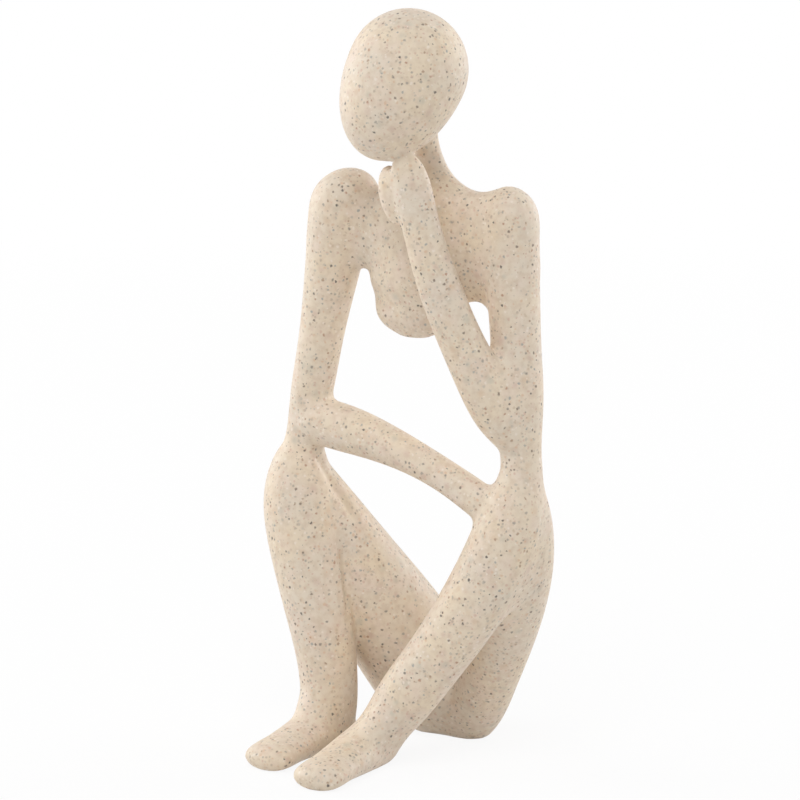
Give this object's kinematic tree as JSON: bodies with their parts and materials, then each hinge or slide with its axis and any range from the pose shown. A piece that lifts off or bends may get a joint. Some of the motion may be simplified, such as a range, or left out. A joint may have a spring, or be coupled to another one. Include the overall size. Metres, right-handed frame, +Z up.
{
  "type": "thinker statue",
  "caption": "Small faceless seated figurine in speckled sand-filled resin, chin propped on one hand and a forearm laid across the knees; stands free as a shelf ornament.",
  "frame": {"origin": "middle of the figure's footprint, on the table plane that the seat and both soles rest on", "axes": "+Z up through the head, -Y the way the figure faces, +X towards the figure's left"},
  "size_m": [0.0524, 0.0524, 0.1275],
  "materials": {
    "sand_resin": "satin-matt speckled sand-filled resin",
    "dowel_steel": "plain"
  },
  "bodies": {
    "root": {"head": "sand_resin", "torso": "sand_resin", "resting_arm": "sand_resin", "propping_arm": "sand_resin", "right_leg": "sand_resin", "left_leg": "sand_resin", "neck_dowel": "dowel_steel", "right_shoulder_dowel": "dowel_steel", "left_shoulder_dowel": "dowel_steel", "right_knee_dowel": "dowel_steel", "left_knee_dowel": "dowel_steel", "hip_dowel": "dowel_steel", "wrist_dowel": "dowel_steel", "chin_dowel": "dowel_steel"}
  },
  "joints": []
}
